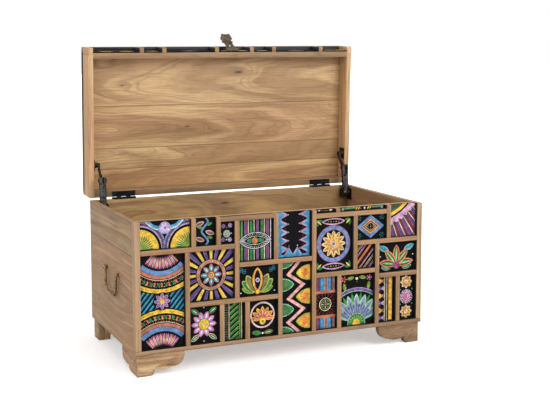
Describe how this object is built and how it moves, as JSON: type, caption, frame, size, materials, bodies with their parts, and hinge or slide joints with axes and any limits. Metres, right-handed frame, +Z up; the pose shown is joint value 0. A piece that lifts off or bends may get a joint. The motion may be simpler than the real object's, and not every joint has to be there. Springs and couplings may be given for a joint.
{
  "type": "damchiya chest",
  "caption": "Wooden storage chest on bracket feet, with a patchwork of painted tiles between battens, a hinged lid on folding stays, a hasp and bail handles.",
  "frame": {"origin": "middle of the box round the whole chest with its lid open, on the floor", "axes": "+Z up, +X along the chest to the right as seen from the front, -Y towards the front"},
  "size_m": [0.9286, 0.5398, 0.9354],
  "materials": {
    "mango_wood": "waxed, open grain",
    "mango_board": "sanded, pale",
    "painted_tile": "black ground with raised painted folk ornament",
    "black_steel": "black lacquer",
    "stay_steel": "dark grey",
    "antique_brass": "antique, dull"
  },
  "bodies": {
    "box": {"back_panel": "mango_wood", "bottom_panel": "mango_board", "foot_glue_blocks": "mango_board", "front_board": "mango_wood", "front_cross_battens": "mango_wood", "front_foot_left": "mango_wood", "front_foot_right": "mango_wood", "front_rail": "mango_wood", "front_stile_left": "mango_wood", "front_stile_right": "mango_wood", "front_tiles_lower": "painted_tile", "front_tiles_middle": "painted_tile", "front_tiles_top": "painted_tile", "front_upright_battens": "mango_wood", "handle_nuts": "antique_brass", "handle_posts_left": "antique_brass", "handle_posts_right": "antique_brass", "hinge_leaves_box": "black_steel", "hinge_pins": "black_steel", "rear_foot_left": "mango_wood", "rear_foot_right": "mango_wood", "screws_box": "black_steel", "side_foot_front_left": "mango_wood", "side_foot_front_right": "mango_wood", "side_foot_rear_left": "mango_wood", "side_foot_rear_right": "mango_wood", "side_panel_left": "mango_wood", "side_panel_right": "mango_wood", "stay_bracket_left": "stay_steel", "stay_bracket_right": "stay_steel", "stay_foot_pins": "stay_steel"},
    "lid": {"hasp_pin": "antique_brass", "hasp_plate": "antique_brass", "hasp_screws": "antique_brass", "hinge_leaves_lid": "black_steel", "lid_front_battens": "mango_wood", "lid_front_rail": "mango_wood", "lid_front_stiles": "painted_tile", "lid_front_tiles": "painted_tile", "lid_rear_rail": "mango_wood", "lid_side_left": "mango_wood", "lid_side_right": "mango_wood", "lid_top_battens": "mango_wood", "lid_top_board": "mango_board", "lid_top_border": "mango_wood", "lid_top_tiles": "painted_tile", "screws_lid": "black_steel", "stay_lid_bracket_left": "stay_steel", "stay_lid_bracket_right": "stay_steel"},
    "stay_body_left": {"stay_body_left": "stay_steel", "stay_elbow_pin_left": "stay_steel"},
    "stay_body_right": {"stay_body_right": "stay_steel", "stay_elbow_pin_right": "stay_steel"},
    "stay_arm_left": {"stay_arm_left": "stay_steel"},
    "stay_arm_right": {"stay_arm_right": "stay_steel"},
    "hasp_strap": {"hasp_strap": "antique_brass"},
    "bail_left": {"handle_bail_left": "antique_brass"},
    "bail_right": {"handle_bail_right": "antique_brass"}
  },
  "joints": [
    {"name": "lid_hinge", "type": "hinge", "parent": "box", "child": "lid", "pos_m": [0, 0.19409, 0.428], "axis": [1, 0, 0], "range_deg": [0, 88]},
    {"name": "stay_left_foot", "type": "hinge", "parent": "box", "child": "stay_body_left", "pos_m": [-0.417, 0.15209, 0.405], "axis": [1, 0, 0], "range_deg": [0, 110.29]},
    {"name": "stay_left_elbow", "type": "hinge", "parent": "stay_body_left", "child": "stay_arm_left", "pos_m": [-0.417, 0.16159, 0.48944], "axis": [1, 0, 0], "range_deg": [-86, 0]},
    {"name": "handle_left_swing", "type": "hinge", "parent": "box", "child": "bail_left", "pos_m": [-0.4578, -0.05891, 0.257], "axis": [0, 1, 0], "range_deg": [-3, 183]},
    {"name": "stay_right_foot", "type": "hinge", "parent": "box", "child": "stay_body_right", "pos_m": [0.417, 0.15209, 0.405], "axis": [1, 0, 0], "range_deg": [0, 110.29]},
    {"name": "stay_right_elbow", "type": "hinge", "parent": "stay_body_right", "child": "stay_arm_right", "pos_m": [0.417, 0.16159, 0.48944], "axis": [1, 0, 0], "range_deg": [-86, 0]},
    {"name": "handle_right_swing", "type": "hinge", "parent": "box", "child": "bail_right", "pos_m": [0.4578, -0.05891, 0.257], "axis": [0, -1, 0], "range_deg": [-3, 183]},
    {"name": "hasp_hinge", "type": "hinge", "parent": "lid", "child": "hasp_strap", "pos_m": [0.02256, 0.18268, 0.88368], "axis": [1, 0, 0], "range_deg": [0, 140]}
  ],
  "couplings": [
    {"joint": "stay_left_foot", "follows": "lid_hinge", "ratio": 1.2533},
    {"joint": "stay_left_elbow", "follows": "lid_hinge", "ratio": -0.97726},
    {"joint": "stay_right_foot", "follows": "lid_hinge", "ratio": 1.2533},
    {"joint": "stay_right_elbow", "follows": "lid_hinge", "ratio": -0.97726}
  ]
}
